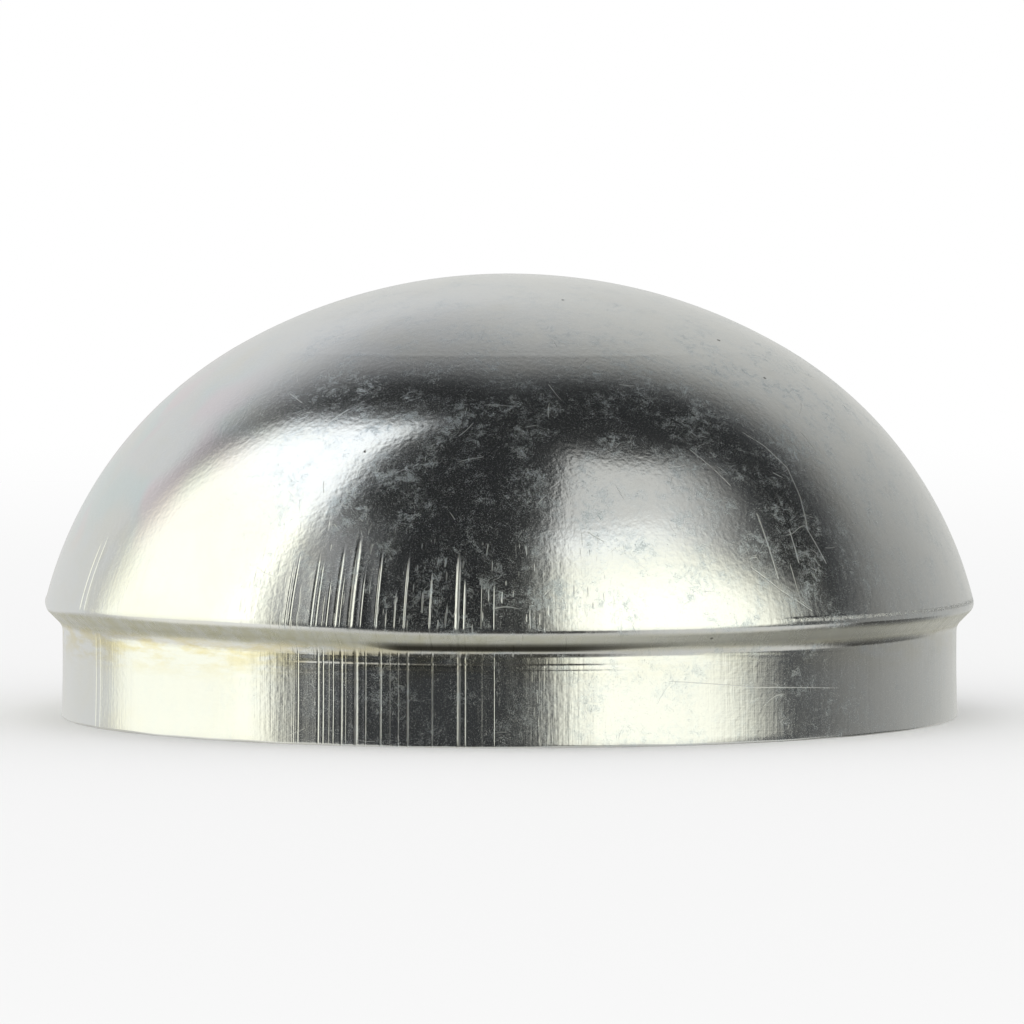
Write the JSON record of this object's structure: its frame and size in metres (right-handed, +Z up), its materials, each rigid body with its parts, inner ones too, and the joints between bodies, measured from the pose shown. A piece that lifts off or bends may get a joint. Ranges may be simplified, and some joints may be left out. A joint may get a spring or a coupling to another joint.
{
  "type": "fence post cap",
  "caption": "Hollow domed cap for a round steel fence post, pressed from plated sheet steel. The collar drives into the top of the tube and the shoulder stops on its end.",
  "frame": {"origin": "centre of the rim, where the cap's axis meets the plane of the collar's bottom edge", "axes": "+Z up the axis through the crown; the cap is round, so X and Y have no feature of their own"},
  "size_m": [0.076, 0.076, 0.0362],
  "materials": {
    "zinc_plated_steel": "bright zinc plating, worn satin, with drawing scratches up the side and a faint yellow tint"
  },
  "bodies": {
    "root": {"cap_shell": "zinc_plated_steel"}
  },
  "joints": []
}
